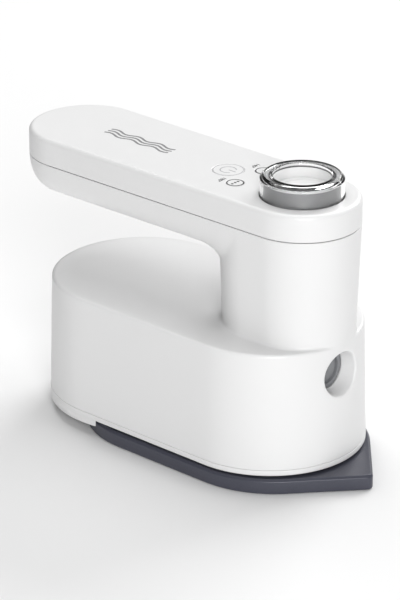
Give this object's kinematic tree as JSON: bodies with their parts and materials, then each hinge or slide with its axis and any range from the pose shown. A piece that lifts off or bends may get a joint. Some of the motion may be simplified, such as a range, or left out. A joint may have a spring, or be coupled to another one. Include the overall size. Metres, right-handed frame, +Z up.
{
  "type": "travel steam iron",
  "caption": "Compact travel garment iron: tall rounded base on a pointed soleplate, nose column with a clear mist button, and a flat grip running back over the base.",
  "frame": {"origin": "on the ironing surface, below the centre of the base's round heel", "axes": "+X from heel to nose, +Y to the left of a user who looks towards the nose, +Z up from the ironing surface"},
  "size_m": [0.181, 0.0814, 0.1269],
  "materials": {
    "white_plastic": "satin moulded",
    "sole_coating": "satin ceramic coating",
    "clear_plastic": "polished clear",
    "grey_plastic": "satin",
    "dish_plastic": "gloss",
    "nozzle_grey": "satin",
    "smoked_plastic": "gloss",
    "steel": "plain",
    "aluminium": "plain",
    "ceramic_white": "glazed",
    "mica": "plain",
    "fibre_pad": "felted",
    "tank_plastic": "translucent",
    "black_rubber": "plain",
    "silicone": "satin",
    "board_green": "lacquered",
    "black_plastic": "satin",
    "blue_plastic": "satin",
    "terminal_green": "satin",
    "lamp_resin": "clear resin",
    "red_insulation": "satin",
    "ivory_insulation": "satin",
    "pump_plastic": "satin"
  },
  "bodies": {
    "root": {"soleplate": "sole_coating", "heating_element": "aluminium", "heater_pins": "steel", "heater_clamp": "steel", "clamp_screw": "steel", "thermistor": "aluminium", "thermal_fuse": "ceramic_white", "fuse_clip": "steel", "mica_washers": "mica", "soleplate_screws": "steel", "base_skirt": "white_plastic", "body_screws": "steel", "heat_shield": "aluminium", "shield_screws": "steel", "insulation_pad": "fibre_pad", "water_tank": "tank_plastic", "tank_lid": "tank_plastic", "neck_seal": "black_rubber", "pump_well": "tank_plastic", "well_screws": "steel", "body_shell": "white_plastic", "handle_cover": "white_plastic", "high_window": "smoked_plastic", "low_window": "smoked_plastic", "control_board": "board_green", "board_screws": "steel", "tact_switch": "black_plastic", "led_lamps": "lamp_resin", "relay": "blue_plastic", "capacitor": "blue_plastic", "lead_terminal": "terminal_green", "dc_jack": "black_plastic", "jack_nut": "steel", "power_leads": "red_insulation", "heater_leads": "red_insulation", "sensor_leads": "ivory_insulation", "outlet_tube": "silicone", "outlet_valve": "silicone", "nozzle_body": "nozzle_grey", "nozzle_insert": "nozzle_grey", "nozzle_ring": "nozzle_grey"},
    "pump_unit": {"pump_barrel": "pump_plastic", "pump_collar": "pump_plastic", "pump_seals": "black_rubber", "inlet_ball": "steel", "dip_tube": "silicone", "pump_spring": "steel"},
    "button": {"pump_piston": "pump_plastic", "piston_seal": "black_rubber", "button_core": "grey_plastic", "button_cap": "clear_plastic", "button_dish": "dish_plastic"},
    "key": {"power_key": "white_plastic", "switch_plunger": "black_plastic"}
  },
  "joints": [
    {"name": "pump_lift", "type": "slide", "parent": "root", "child": "pump_unit", "axis": [0, 0, 1], "range_m": [0, 0.1]},
    {"name": "button_press", "type": "slide", "parent": "pump_unit", "child": "button", "axis": [0, 0, -1], "range_m": [0, 0.005], "stiffness_N_per_m": 1500, "springref_m": -0.002, "deforming": ["pump_spring"]},
    {"name": "key_press", "type": "slide", "parent": "root", "child": "key", "axis": [0, 0, -1], "range_m": [0, 0.0006], "stiffness_N_per_m": 3000, "springref_m": -0.0003}
  ]
}
